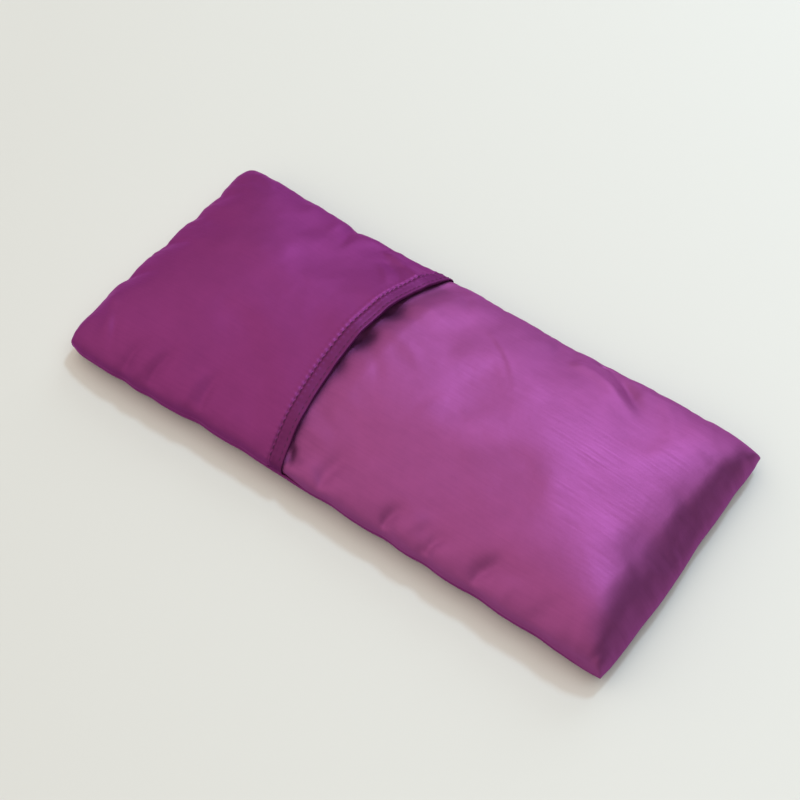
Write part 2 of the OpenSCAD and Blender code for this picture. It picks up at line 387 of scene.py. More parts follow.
def spread(low, high, step, graded_low, graded_high):
    """Positions from low to high, closer together towards a graded end."""
    closer = [step * k * k / 24 for k in range(13)]
    head = [low + d for d in closer] if graded_low else [low]
    tail = [high - d for d in closer[::-1]] if graded_high else [high]
    count = max(2, int(round((tail[0] - head[-1]) / step)))
    middle = np.linspace(head[-1], tail[0], count + 1)[1:-1]
    return np.array(head + middle.tolist() + tail)


def mesh_from(name, co, quads, flat, uv, material):
    mesh = bpy.data.meshes.new(name)
    mesh.vertices.add(len(co))
    mesh.vertices.foreach_set("co", np.asarray(co, np.float32).ravel())
    mesh.loops.add(quads.size)
    mesh.loops.foreach_set("vertex_index", quads.ravel().astype(np.int32))
    mesh.polygons.add(len(quads))
    mesh.polygons.foreach_set("loop_start", np.arange(0, quads.size, 4, dtype=np.int32))
    mesh.polygons.foreach_set("use_smooth", ~flat)
    if uv is not None:
        layer = mesh.uv_layers.new(name="UVMap")
        layer.data.foreach_set("uv", uv[quads.ravel()].astype(np.float32).ravel())
    mesh.update(calc_edges=True)
    edge_of = np.empty(quads.size, np.int32)
    mesh.loops.foreach_get("edge_index", edge_of)
    sharp = np.zeros(len(mesh.edges), bool)
    sharp[edge_of.reshape(-1, 4)[flat].ravel()] = True
    mesh.edges.foreach_set("use_edge_sharp", sharp)
    for m in material if isinstance(material, tuple) else (material,):
        mesh.materials.append(m)
    obj = bpy.data.objects.new(name, mesh)
    bpy.context.scene.collection.objects.link(obj)
    return obj


def shell(name, out, inn, uv, material, turned=False, ring=False):
    """A closed thin solid between two grids of points; ring closes it on itself in the first direction."""
    n, m = out.shape[:2]
    co = np.concatenate([out.reshape(-1, 3), inn.reshape(-1, 3)])
    a = np.arange(n * m).reshape(n, m)
    b = a + n * m
    if ring:
        a, b = np.vstack([a, a[:1]]), np.vstack([b, b[:1]])

    def patch(g):
        return np.stack([g[:-1, :-1], g[1:, :-1], g[1:, 1:], g[:-1, 1:]], -1).reshape(-1, 4)

    def wall(x, y):
        return np.stack([x[:-1], y[:-1], y[1:], x[1:]], -1)
    faces = [patch(a), patch(b)[:, ::-1]]
    walls = [wall(a[:, 0], b[:, 0]), wall(b[:, -1], a[:, -1])]
    if not ring:
        walls += [wall(b[0], a[0]), wall(a[-1], b[-1])]
    quads = np.concatenate(faces + [w[:, ::-1] for w in walls])
    if turned:
        quads = quads[:, ::-1]
    flat = np.zeros(len(quads), bool)
    flat[sum(len(f) for f in faces):] = True
    uv2 = np.concatenate([uv.reshape(-1, 2)] * 2)
    return mesh_from(name, co, quads, flat, uv2, material)


def grid_uv(u, v):
    return np.stack(np.broadcast_arrays(u, v), -1)


def tube_arrays(paths, radius, sides):
    """One mesh of round threads, each path an array of points, rounded off at its ends."""
    verts, quads, count = [], [], 0
    ring = np.linspace(0, 2 * math.pi, sides, endpoint=False)
    for path in paths:
        path = np.asarray(path)
        tangent = np.gradient(path, axis=0)
        tangent /= np.linalg.norm(tangent, axis=1, keepdims=True)
        helper = np.array([0.0, 0.0, 1.0]) if abs(tangent[0, 2]) < 0.8 else np.array([1.0, 0.0, 0.0])
        side = np.cross(tangent, helper)
        side /= np.linalg.norm(side, axis=1, keepdims=True)
        up = np.cross(side, tangent)
        k = np.arange(len(path)) / (len(path) - 1)
        r = radius * np.clip(4 * np.sqrt(k * (1 - k)), 0.35, 1)
        rows = path[:, None] + r[:, None, None] * (np.cos(ring)[None, :, None] * side[:, None]
                                                   + np.sin(ring)[None, :, None] * up[:, None])
        verts += [rows.reshape(-1, 3), path[:1], path[-1:]]
        g = count + np.arange(len(path) * sides).reshape(len(path), sides)
        h = np.roll(g, -1, 1)
        quads.append(np.stack([g[:-1], h[:-1], h[1:], g[1:]], -1).reshape(-1, 4))
        first, last = count + len(path) * sides, count + len(path) * sides + 1
        quads.append(np.stack([h[0], g[0], np.full(sides, first), np.full(sides, -1)], -1))
        quads.append(np.stack([g[-1], h[-1], np.full(sides, last), np.full(sides, -1)], -1))
        count += len(path) * sides + 2
    return np.concatenate(verts), np.concatenate(quads)


def threads(name, paths, radius, material, sides=6):
    co, quads = tube_arrays(paths, radius, sides)
    faces = [[int(i) for i in q if i >= 0] for q in quads]
    mesh = bpy.data.meshes.new(name)
    mesh.from_pydata(co.tolist(), [], faces)
    mesh.update()
    mesh.polygons.foreach_set("use_smooth", np.ones(len(faces), bool))
    mesh.materials.append(material)
    obj = bpy.data.objects.new(name, mesh)
    bpy.context.scene.collection.objects.link(obj)
    return obj


# ---------------------------------------------------------------- materials

def new_material(name):
    material = bpy.data.materials.new(name)
    material.use_nodes = True
    tree = material.node_tree
    shader = tree.nodes["Principled BSDF"]
    return material, tree, shader


def noise(tree, vector, scale, detail, rough=0.5):
    node = tree.nodes.new("ShaderNodeTexNoise")
    node.inputs["Scale"].default_value = scale
    node.inputs["Detail"].default_value = detail
    node.inputs["Roughness"].default_value = rough
    tree.links.new(vector, node.inputs["Vector"])
    return node.outputs["Fac"]


def ramp(tree, factor, stops):
    node = tree.nodes.new("ShaderNodeValToRGB")
    elements = node.color_ramp.elements
    while len(elements) < len(stops):
        elements.new(0.5)
    for element, (at, color) in zip(elements, stops):
        element.position = at
        element.color = (*color, 1) if hasattr(color, "__len__") else (color, color, color, 1)
    tree.links.new(factor, node.inputs["Fac"])
    return node.outputs["Color"]


def stretched(tree, source, scale, angle=0.0, shift=0.0, tilt=0.0):
    node = tree.nodes.new("ShaderNodeMapping")
    node.inputs["Scale"].default_value = scale
    node.inputs["Rotation"].default_value = (0, tilt, angle)
    node.inputs["Location"].default_value = (shift, 0, 0)
    tree.links.new(source, node.inputs["Vector"])
    return node.outputs["Vector"]


def bump(tree, height_out, strength, distance, below=None):
    node = tree.nodes.new("ShaderNodeBump")
    node.inputs["Strength"].default_value = strength
    node.inputs["Distance"].default_value = distance
    tree.links.new(height_out, node.inputs["Height"])
    if below is not None:
        tree.links.new(below, node.inputs["Normal"])
    return node.outputs["Normal"]


def shaded(color, factor):
    return tuple(c * factor for c in color)


def satin(name, color, tint, warp_angle, gloss):
    """Woven satin: long floats along the warp, soft coloured gloss, faint streaks and a mottled tone."""
    material, tree, shader = new_material(name)
    uv = tree.nodes.new("ShaderNodeUVMap")
    uv.uv_map = "UVMap"
    cloth = uv.outputs["UV"]
    broad = noise(tree, cloth, 38, 10, 0.72)
    tree.links.new(ramp(tree, broad, [(0.3, shaded(color, 0.92)), (0.7, shaded(color, 1.07))]),
                   shader.inputs["Base Color"])
    streak = noise(tree, stretched(tree, cloth, (60, 1400, 1), warp_angle), 1, 3, 0.6)
    tree.links.new(ramp(tree, streak, [(0.3, 0.47), (0.7, 0.56)]), shader.inputs["Roughness"])
    floats = noise(tree, stretched(tree, cloth, (900, 5200, 1), warp_angle), 1, 2, 0.5)
    crumple = noise(tree, cloth, 95, 5, 0.55)
    fine = bump(tree, floats, 0.25, 0.00005)
    soft = bump(tree, crumple, 0.35, 0.0006, fine)
    tree.links.new(soft, shader.inputs["Normal"])
    shader.inputs["Metallic"].default_value = 0.88
    shader.inputs["Specular IOR Level"].default_value = gloss
    shader.inputs["Specular Tint"].default_value = (*tint, 1)
    shader.inputs["Sheen Weight"].default_value = 0.1
    shader.inputs["Sheen Roughness"].default_value = 0.4
    shader.inputs["Sheen Tint"].default_value = (*tint, 1)
    return material


def cotton(name, color):
    material, tree, shader = new_material(name)
    uv = tree.nodes.new("ShaderNodeUVMap")
    uv.uv_map = "UVMap"
    cloth = uv.outputs["UV"]
    tree.links.new(ramp(tree, noise(tree, cloth, 60, 5, 0.6), [(0.3, shaded(color, 0.9)), (0.7, color)]),
                   shader.inputs["Base Color"])
    warp = noise(tree, stretched(tree, cloth, (500, 3000, 1)), 1, 2)
    weft = noise(tree, stretched(tree, cloth, (3000, 500, 1)), 1, 2)
    first = bump(tree, warp, 0.5, 0.0001)
    tree.links.new(bump(tree, weft, 0.5, 0.0001, first), shader.inputs["Normal"])
    shader.inputs["Roughness"].default_value = 0.9
    shader.inputs["Sheen Weight"].default_value = 0.2
    return material


def thread(name, color):
    material, tree, shader = new_material(name)
    where = tree.nodes.new("ShaderNodeTexCoord").outputs["Object"]
    stops = [(0.3, shaded(color, 0.75)), (0.7, shaded(color, 1.1))]
    tree.links.new(ramp(tree, noise(tree, where, 900, 3), stops), shader.inputs["Base Color"])
    tree.links.new(bump(tree, noise(tree, where, 4200, 2), 0.4, 0.00006), shader.inputs["Normal"])
    shader.inputs["Roughness"].default_value = 0.75
    shader.inputs["Specular IOR Level"].default_value = 0.15
    return material


def grain(name, light, dark, rough):
    material, tree, shader = new_material(name)
    where = tree.nodes.new("ShaderNodeTexCoord").outputs["Object"]
    stops = [(0.32, dark), (0.68, light)]
    tree.links.new(ramp(tree, noise(tree, where, 330, 4), stops), shader.inputs["Base Color"])
    tree.links.new(bump(tree, noise(tree, where, 2600, 3), 0.3, 0.0001), shader.inputs["Normal"])
    shader.inputs["Roughness"].default_value = rough
    return material


SATIN = (0.225, 0.037, 0.178)
TINT = (1.0, 0.4, 1.0)
# The flap's base is a little darker than the plain satin: painted shade
satin_flap = satin("satin_flap", shaded(SATIN, 0.88), TINT, 0.0, 0.25)
# The front panel's base is lighter than the flap's: painted sheen standing in for its broader highlight
satin_front_painted_sheen = satin("satin_front_painted_sheen", (0.266, 0.062, 0.214), (1.0, 0.45, 1.0), math.radians(90), 0.3)
satin_back = satin("satin_back", shaded(SATIN, 0.9), TINT, 0.0, 0.25)
# The hem band's base is much darker than the panel's: painted shade of the band tilting away from the light
satin_hem_painted_shade = satin("satin_hem_painted_shade", shaded(SATIN, 0.58), TINT, 0.0, 0.2)
satin_thread = thread("satin_thread", (0.11, 0.022, 0.09))
cotton_cloth = cotton("cotton_cloth", (0.80, 0.76, 0.66))
cotton_thread = thread("cotton_thread", (0.86, 0.84, 0.78))
seed_coat = grain("seed_coat", (0.27, 0.11, 0.035), (0.11, 0.04, 0.014), 0.32)
dry_bud = grain("dry_bud", (0.30, 0.22, 0.42), (0.12, 0.09, 0.16), 0.8)


# ---------------------------------------------------------------- flap

def arc_along(u_line, top=True):
    """Fine table of arc length against v on the line u = u_line, zero at v = 0."""
    v = spread(-HALF_W, HALF_W, 0.1 * MM, True, True)
    p = outer(top, np.full_like(v, u_line), v, np.zeros_like(v))
    s = np.concatenate([[0], np.cumsum(np.linalg.norm(np.diff(p, axis=0), axis=1))])
    return v, s - np.interp(0, v, s)


HEM_V, HEM_S = arc_along(FOLD_ROW)


def gape(v):
    """How far the lip stands off the front panel."""
    return MM * (1.2 * bell(v - 3 * MM, 9 * MM) + 1.1 * bell(v - 19 * MM, 6 * MM) + 0.15)


def lip(u, v):
    """Height of the flap's outer surface over the cover's form, towards and along its hem."""
    near = smooth((u - (HEM_EDGE - 22 * MM)) / (22 * MM))
    edge = HALF_W - np.abs(v)
    sides = smooth(edge / (8 * MM))
    off = near * gape(v) * sides
    s = np.interp(v, HEM_V, HEM_S)
    band = smooth((u - (FOLD_ROW - 0.3 * MM)) / (1.0 * MM))
    beat = 0.5 + 0.5 * np.cos(2 * math.pi * s / PITCH)
    off = off + band * 0.25 * MM * squeeze(v)
    off = off - bell(u - FOLD_ROW, 0.5 * MM) * (0.22 + 0.34 * beat ** 2) * MM
    off = off + 0.20 * MM * bell(u - FOLD_ROW - 1.2 * MM, 0.7 * MM) * (1 - beat)
    off = off + 0.20 * MM * bell(u - FOLD_ROW + 1.3 * MM, 0.9 * MM) * (1 - beat)
    off = off - 0.10 * MM * bell(u - EDGE_ROW, 0.6 * MM) * (0.5 + 0.5 * beat)
    slow = np.sin(2 * math.pi * s / (13 * MM) + 1.1) + 0.6 * np.sin(2 * math.pi * s / (7.3 * MM))
    return off + 0.12 * MM * slow * smooth((u - FOLD_ROW) / (5 * MM)) * sides


def squeeze(v):
    """The layers are pressed together where the side seams hold them."""
    return 0.4 + 0.6 * smooth((HALF_W - np.abs(v)) / (8 * MM))


def flap_rows(rows, v):
    """Grid of points for path rows of (u, depth below the flap's outer surface)."""
    u = np.array([r[0] for r in rows])[:, None]
    depth = np.array([r[1] for r in rows])[:, None]
    uu, vv = np.broadcast_arrays(u, v[None, :])
    at = np.minimum(uu, HEM_EDGE)
    return outer(True, uu, vv, lip(at, vv) - depth * squeeze(vv)), grid_uv(uu, vv)


def turn(centre_u, centre_depth, radius, start, stop, count):
    """Path rows round a fold: angle 0 points along +u, 90 degrees up out of the cloth."""
    angles = np.radians(np.linspace(start, stop, count))
    return [(centre_u + radius * math.cos(a), centre_depth - radius * math.sin(a)) for a in angles]


def flap_paths():
    r = HEM_T / 2
    flat_u = spread(-HALF_L, FOLD_ROW - 3 * MM, 0.95 * MM, True, False).tolist()
    fine_u = np.arange(FOLD_ROW - 3 * MM, HEM_EDGE - r, 0.27 * MM).tolist()[1:]
    straight = flat_u + fine_u
    inner_r = r - SATIN_T
    out = [(u, 0.0) for u in straight] + turn(HEM_EDGE - r, r, r, 90, -90, 11)
    out += [(HEM_EDGE - 2.2 * MM, HEM_T)]
    inn = [(u, SATIN_T) for u in straight] + turn(HEM_EDGE - r, r, inner_r, 90, -90, 11)
    inn += [(HEM_EDGE - 2.2 * MM, HEM_T - SATIN_T)]
    return out, inn


def hem_paths():
    """The turned end under the band: back along the underside, round the fold, up between the layers."""
    low, mid = HEM_T - SATIN_T, SATIN_T + 0.02 * MM
    start, fold, stop = HEM_EDGE - 2.25 * MM, HEM_EDGE - HEM_W, HEM_EDGE - 1.1 * MM
    r = (HEM_T - mid) / 2
    centre = (HEM_T + mid) / 2
    run = np.linspace(start, fold + r, 20)
    back = np.linspace(fold + r, stop, 22)
    out = [(u, HEM_T) for u in run] + turn(fold + r, centre, r, 270, 90, 9) + [(u, mid) for u in back]
    slim = max(r - 0.36 * MM, 0.03 * MM)
    inn = [(u, HEM_T - 0.38 * MM) for u in run] + turn(fold + r, centre, slim, 270, 90, 9)
    inn += [(u, mid + 0.36 * MM) for u in back]
    return out, inn


HALVES = (("near", -HALF_W, 0.0, True, False), ("far", 0.0, HALF_W, False, True))


def stitches_on(u_line, v_low, v_high, pitch, share, lift, dip):
    """Thread paths of a straight row of stitches on the flap's outer surface."""
    count = int((HEM_S[-1] - 1.5 * MM) / pitch)
    paths = []
    for k in range(-count, count + 1):
        s0, s1 = (k - share / 2 + 0.5) * pitch, (k + share / 2 + 0.5) * pitch
        v = np.interp(np.linspace(s0, s1, 7), HEM_S, HEM_V)
        if v[0] < v_low or v[-1] > v_high or max(abs(v[0]), abs(v[-1])) > HALF_W - 0.3 * MM:
            continue
        u = np.full_like(v, u_line)
        bow = np.sin(np.linspace(0, math.pi, 7)) ** 0.5
        paths.append(outer(True, u, v, lip(u, v) + lift * bow - dip * (1 - bow)))
    return paths


def blended(obj, nodes):
    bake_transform(obj)
    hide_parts(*nodes)
    return obj


for half, low, high, graded_low, graded_high in HALVES:
    v = spread(low, high, 0.5 * MM, graded_low, graded_high)
    out_rows, inn_rows = flap_paths()
    out_grid, uv = flap_rows(out_rows, v)
    inn_grid, _ = flap_rows(inn_rows, v)
    piece = shell("flap_panel_" + half, out_grid, inn_grid, uv, (satin_flap, satin_hem_painted_shade))
    first_hem_row = sum(r[0] < FOLD_ROW for r in out_rows[:-12])
    count = (len(out_rows) - 1) * (len(v) - 1)
    rows = np.arange(count) // (len(v) - 1)
    index = np.zeros(len(piece.data.polygons), np.int32)
    index[:count] = rows >= first_hem_row
    piece.data.polygons.foreach_set("material_index", index)
    blended(piece, ["flap_panel"])
    out_rows, inn_rows = hem_paths()
    out_grid, uv = flap_rows(out_rows, v)
    inn_grid, _ = flap_rows(inn_rows, v)
    piece = shell("flap_hem_" + half, out_grid, inn_grid, uv, satin_hem_painted_shade)
    blended(piece, ["flap_hem"])
    row = stitches_on(FOLD_ROW, low, high, PITCH, 0.8, 0.10 * MM, 0.22 * MM)
    piece = threads("flap_fold_stitches_" + half, row, 0.14 * MM, satin_thread)
    blended(piece, ["flap_hem_fold_stitches"])
    row = stitches_on(EDGE_ROW, low, high, PITCH, 0.8, 0.03 * MM, 0.22 * MM)
    piece = threads("flap_edge_stitches_" + half, row, 0.12 * MM, satin_thread)
    blended(piece, ["flap_hem_edge_stitches"])


# ---------------------------------------------------------------- front panel, its hem, back panel

def sunk(u, v):
    """How far the front panel lies below the form: under the flap, and rising again past its hem."""
    past = smooth((u - HEM_EDGE) / (11 * MM))
    pocket = 1.8 * MM * bell(v + 46.7 * MM, 2.7 * MM) * bell(u - HEM_EDGE - 0.5 * MM, 2.6 * MM)
    return FRONT_DEPTH * (1 - past) + dented(u, v, 0) + pocket


def front_rows(rows, v):
    u = np.array([r[0] for r in rows])[:, None]
    depth = np.array([r[1] for r in rows])[:, None]
    uu, vv = np.broadcast_arrays(u, v[None, :])
    return outer(True, uu, vv, -(sunk(uu, vv) + depth) * squeeze(vv)), grid_uv(uu, vv)


v = spread(-HALF_W, HALF_W, 0.8 * MM, True, True)
front_u = np.concatenate([spread(TUCK, HEM_EDGE - 4 * MM, 1.2 * MM, False, False)[:-1],
                          spread(HEM_EDGE - 4 * MM, HALF_L, 0.75 * MM, False, True)])
turn_r = 0.45 * MM
fold_rows = turn(TUCK + turn_r, turn_r, turn_r, 270, 90, 9)[:-1]
thin_rows = turn(TUCK + turn_r, turn_r, 0.05 * MM, 270, 90, 9)[:-1]
front_u = front_u[front_u > TUCK + turn_r]
out_grid, uv = front_rows(fold_rows + [(u, 0.0) for u in front_u], v)
inn_grid, _ = front_rows(thin_rows + [(u, SATIN_T) for u in front_u], v)
front_panel = shell("front_panel_cloth", out_grid, inn_grid, uv, satin_front_painted_sheen)
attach(front_panel, "cover")
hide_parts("front_panel")

run = np.linspace(TUCK + turn_r, TUCK + HEM_W, 12)
hem_out = [(u, 0.52 * MM) for u in run]
hem_low = [(u, 0.9 * MM) for u in run]
out_grid, uv = front_rows(hem_out, v)
inn_grid, _ = front_rows(hem_low, v)
front_hem = shell("front_hem_cloth", out_grid, inn_grid, uv, satin_front_painted_sheen)
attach(front_hem, "cover")
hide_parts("front_hem")


def row_on_front(u_line, pitch, share):
    table_v, table_s = arc_along(u_line)
    paths, count = [], int((table_s[-1] - 2.5 * MM) / pitch)
    for k in range(-count, count + 1):
        s = np.linspace((k - share / 2) * pitch, (k + share / 2) * pitch, 7)
        vv = np.interp(s, table_s, table_v)
        uu = np.full_like(vv, u_line)
        bow = np.sin(np.linspace(0, math.pi, 7)) ** 0.5
        lift = 0.12 * MM * bow - 0.2 * MM * (1 - bow)
        paths.append(outer(True, uu, vv, -sunk(uu, vv) * squeeze(vv) + lift))
    return paths


front_threads = threads("front_stitches", row_on_front(TUCK + 6.8 * MM, PITCH, 0.8), 0.13 * MM, satin_thread)
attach(front_threads, "cover")
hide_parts("front_hem_stitches")

back_u = spread(-HALF_L, HALF_L, 1.3 * MM, True, True)
back_v = spread(-HALF_W, HALF_W, 1.2 * MM, True, True)
uu, vv = np.meshgrid(back_u, back_v, indexing="ij")
back_panel = shell("back_panel_cloth", outer(False, uu, vv, np.zeros_like(uu)),
                   outer(False, uu, vv, np.full_like(uu, -SATIN_T)), grid_uv(uu, vv), satin_back, turned=True)
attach(back_panel, "cover")
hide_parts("back_panel")


# ---------------------------------------------------------------- seam of the cover

def perimeter(step):
    """Cloth positions on the outline, going round from the near right corner."""
    along = spread(-HALF_L, HALF_L, step, True, True)
    across = spread(-HALF_W, HALF_W, step, True, True)
    near = np.stack([along[::-1], np.full_like(along, -HALF_W)], 1)[:-1]
    left = np.stack([np.full_like(across, -HALF_L), across], 1)[:-1]
    far = np.stack([along, np.full_like(along, HALF_W)], 1)[:-1]
    right = np.stack([np.full_like(across, HALF_L), across[::-1]], 1)[:-1]
    return np.concatenate([near, left, far, right])


def inside(depth_in, at):
    """Cloth positions depth_in further in from the outline positions at."""
    return at[:, 0] * (1 - depth_in / HALF_L), at[:, 1] * (1 - depth_in / HALF_W)


ring_at = perimeter(1.6 * MM)
ins = np.concatenate([[0.15, 0.3, 0.55, 0.9], np.linspace(1.4, 5.4, 9)]) * MM
uu = np.stack([inside(d, ring_at)[0] for d in ins], 1)
vv = np.stack([inside(d, ring_at)[1] for d in ins], 1)
frayed = np.sin(np.arange(len(ring_at)) * 1.7)[:, None]
ragged = 0.12 * MM * frayed * smooth((ins - 3 * MM) / (2 * MM))[None, :]
allowance = shell("seam_allowance_cloth", outer(False, uu, vv, ragged - 0.48 * MM),
                  outer(False, uu, vv, ragged - 1.22 * MM), np.stack([uu, vv], -1), satin_back,
                  turned=True, ring=True)
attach(allowance, "cover")
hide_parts("cover_seam_allowance")


def seam_row(ends, reach):
    """Straight stitches behind the long seams, or behind the end seams."""
    paths = []
    for sign in (-1, 1):
        for k in range(-int(reach / SEAM_PITCH), int(reach / SEAM_PITCH) + 1):
            along = (k + np.linspace(-0.4, 0.4, 6)) * SEAM_PITCH
            edge = np.full_like(along, sign * ((HALF_L if ends else HALF_W) - 0.9 * MM))
            uu, vv = (edge, along) if ends else (along, edge)
            bow = np.sin(np.linspace(0, math.pi, 6)) ** 0.5
            paths.append(outer(False, uu, vv, -1.30 * MM - 0.1 * MM * bow))
    return paths


side_threads = threads("side_stitches", seam_row(False, 100 * MM), 0.14 * MM, satin_thread)
end_threads = threads("end_stitches", seam_row(True, 39 * MM), 0.14 * MM, satin_thread)
for obj, node in ((side_threads, "side_seam_stitches"), (end_threads, "end_seam_stitches")):
    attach(obj, "cover")
    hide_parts(node)


# ---------------------------------------------------------------- insert

bag_form = scaled(107 / 113, 47.8 / 51, 0.803, 0.84)
bag_u = spread(-HALF_L, HALF_L, 1.5 * MM, True, True)
bag_v = spread(-HALF_W, HALF_W, 1.3 * MM, True, True)
uu, vv = np.meshgrid(bag_u, bag_v, indexing="ij")
for top, name, node in ((True, "insert_top_cloth", "insert_top_panel"),
                        (False, "insert_bottom_cloth", "insert_bottom_panel")):
    p, n = surface(top, uu, vv, bag_form)
    piece = shell(name, p, p - n * SATIN_T, grid_uv(uu, vv), cotton_cloth, turned=not top)
    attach(piece, "insert")
    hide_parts(node)


def bag_edge(at, off):
    """Points on the insert's outline, off metres outside it."""
    p = bag_form(True, at[:, 0], at[:, 1])
    out = np.stack([at[:, 0] / HALF_L, at[:, 1] / HALF_W], 1)
    out = np.sign(out) * (np.abs(out) > 1 - 1e-9)
    out = out / np.maximum(np.linalg.norm(out, axis=1, keepdims=True), 1e-9)
    p[:, :2] += out * off
    return p


def edge_rows():
    """Lockstitches along the near side, the left end and the far side of the insert."""
    at = perimeter(1.0 * MM)
    p = bag_edge(at, 0)
    s = np.concatenate([[0], np.cumsum(np.linalg.norm(np.diff(p, axis=0), axis=1))])
    stop = s[np.flatnonzero((at[:, 0] > HALF_L - 12 * MM) & (at[:, 1] > 0))[0]]
    start = s[np.flatnonzero(at[:, 0] < HALF_L - 12 * MM)[0]]
    paths = []
    for k in range(int((stop - start) / SEAM_PITCH)):
        ss = start + (k + np.linspace(0.1, 0.9, 6)) * SEAM_PITCH
        bow = np.sin(np.linspace(0, math.pi, 6)) ** 0.5
        q = np.stack([np.interp(ss, s, p[:, i]) for i in range(3)], 1)
        mid = np.stack([np.interp(ss, s, at[:, i]) for i in range(2)], 1)
        out = np.stack([np.sign(mid[:, 0]) * (np.abs(mid[:, 0]) > HALF_L - 1e-6),
                        np.sign(mid[:, 1]) * (np.abs(mid[:, 1]) > HALF_W - 1e-6)], 1)
        q[:, :2] += out * (0.14 * bow - 0.1)[:, None] * MM
        paths.append(q)
    return paths


def whip_rows():
    """Slanted whip stitches over the insert's closed end."""
    paths = []
    for k in range(-11, 12):
        v0 = k * 3.4 * MM
        t = np.linspace(-1, 1, 11)
        vv = v0 + 0.9 * MM * t
        uu = np.full_like(vv, HALF_L) - 1.6 * MM * t * t
        up = np.stack([surface(True, u, w, bag_form)[0] + 0.14 * MM * surface(True, u, w, bag_form)[1]
                       for u, w in zip(uu, vv)])
        low = np.stack([surface(False, u, w, bag_form)[0] + 0.14 * MM * surface(False, u, w, bag_form)[1]
                        for u, w in zip(uu, vv)])
        paths.append(np.where(t[:, None] > 0, up, low))
    return paths


bag_threads = threads("insert_seam_row", edge_rows(), 0.15 * MM, cotton_thread)
whip_threads = threads("insert_whip_row", whip_rows(), 0.15 * MM, cotton_thread)
for obj, node in ((bag_threads, "insert_seam_stitches"), (whip_threads, "insert_closing_stitches")):
    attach(obj, "insert")
    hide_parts(node)


# ---------------------------------------------------------------- seeds and lavender

core_form = scaled(105.4 / 113, 46.2 / 51, 0.655, 0.58)
rng_seed = np.random.RandomState(5)


def seed_shape():
    """One flax seed: flat, with one end drawn to a point. Rows of points, and triangles and quads."""
    ring = np.linspace(0, 2 * math.pi, 6, endpoint=False)
    rows = []
    for at, wide in ((-0.62, 0.72), (-0.05, 1.0), (0.58, 0.58)):
        rows.append(np.stack([np.full(6, at * 2.2), np.cos(ring) * wide * 1.1, np.sin(ring) * wide * 0.5], 1))
    co = np.concatenate(rows + [[[-2.1, 0, 0]], [[2.3, 0, 0]]]) * MM
    faces = []
    for r in range(2):
        for k in range(6):
            a, b = r * 6 + k, r * 6 + (k + 1) % 6
            faces.append((a, b, b + 6, a + 6))
    for k in range(6):
        faces.append(((k + 1) % 6, k, 18, -1))
        faces.append((12 + k, 12 + (k + 1) % 6, 19, -1))
    return co, np.array(faces)


def frames_at(top, u, v, form, turn_by, lean):
    p, n = surface(top, u, v, form)
    side = np.cross(n, np.stack([-np.sin(turn_by), np.cos(turn_by), np.zeros_like(turn_by)], -1))
    side /= np.linalg.norm(side, axis=-1, keepdims=True)
    third = np.cross(n, side)
    tilted = n + side * lean[:, None]
    tilted /= np.linalg.norm(tilted, axis=-1, keepdims=True)
    side = np.cross(third, tilted)
    return p, side, third, tilted


def scattered(shape, faces, top, u, v, form, turn_by, lean, lift, size):
    p, a, b, c = frames_at(top, u, v, form, turn_by, lean)
    co = (p + c * lift[:, None])[:, None] + size[:, None, None] * (
        shape[None, :, 0, None] * a[:, None] + shape[None, :, 1, None] * b[:, None]
        + shape[None, :, 2, None] * c[:, None])
    ids = np.where(faces[None] >= 0, faces[None] + (np.arange(len(u)) * len(shape))[:, None, None], -1)
    return co.reshape(-1, 3), ids.reshape(-1, 4)


def seed_layer(top):
    us, vs = np.meshgrid(np.arange(-109, 109.1, 3.3) * MM, np.arange(-48, 48.1, 2.45) * MM, indexing="ij")
    us = us + rng_seed.uniform(-1, 1, us.shape) * MM
    vs = vs + rng_seed.uniform(-0.9, 0.9, vs.shape) * MM
    us, vs = us.ravel(), vs.ravel()
    count = len(us)
    shape, faces = seed_shape()
    return scattered(shape, faces, top, us, vs, core_form, rng_seed.uniform(0, 2 * math.pi, count),
                     rng_seed.uniform(-0.2, 0.2, count), rng_seed.uniform(-0.1, 0.35, count) * MM,
                     rng_seed.uniform(0.88, 1.08, count))


def core_sheet(top):
    along = spread(-HALF_L, HALF_L, 4 * MM, True, True)
    across = spread(-HALF_W, HALF_W, 3.5 * MM, True, True)
    uu, vv = np.meshgrid(along, across, indexing="ij")
    p = core_form(top, uu, vv)
    g = np.arange(uu.size).reshape(uu.shape)
    q = np.stack([g[:-1, :-1], g[1:, :-1], g[1:, 1:], g[:-1, 1:]], -1).reshape(-1, 4)
    return p.reshape(-1, 3), q if top else q[:, ::-1]


def merged(name, parts, material):
    verts, faces, at = [], [], 0
    for co, quads in parts:
        verts.append(co)
        faces += [[int(i) + at for i in q if i >= 0] for q in quads]
        at += len(co)
    mesh = bpy.data.meshes.new(name)
    mesh.from_pydata(np.concatenate(verts).tolist(), [], faces)
    mesh.update()
    mesh.polygons.foreach_set("use_smooth", np.ones(len(faces), bool))
    mesh.materials.append(material)
    obj = bpy.data.objects.new(name, mesh)
    bpy.context.scene.collection.objects.link(obj)
    return obj


seeds = merged("flax_seeds", [core_sheet(True), core_sheet(False), seed_layer(True), seed_layer(False)],
               seed_coat)
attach(seeds, "insert")
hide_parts("flax_seed_fill")


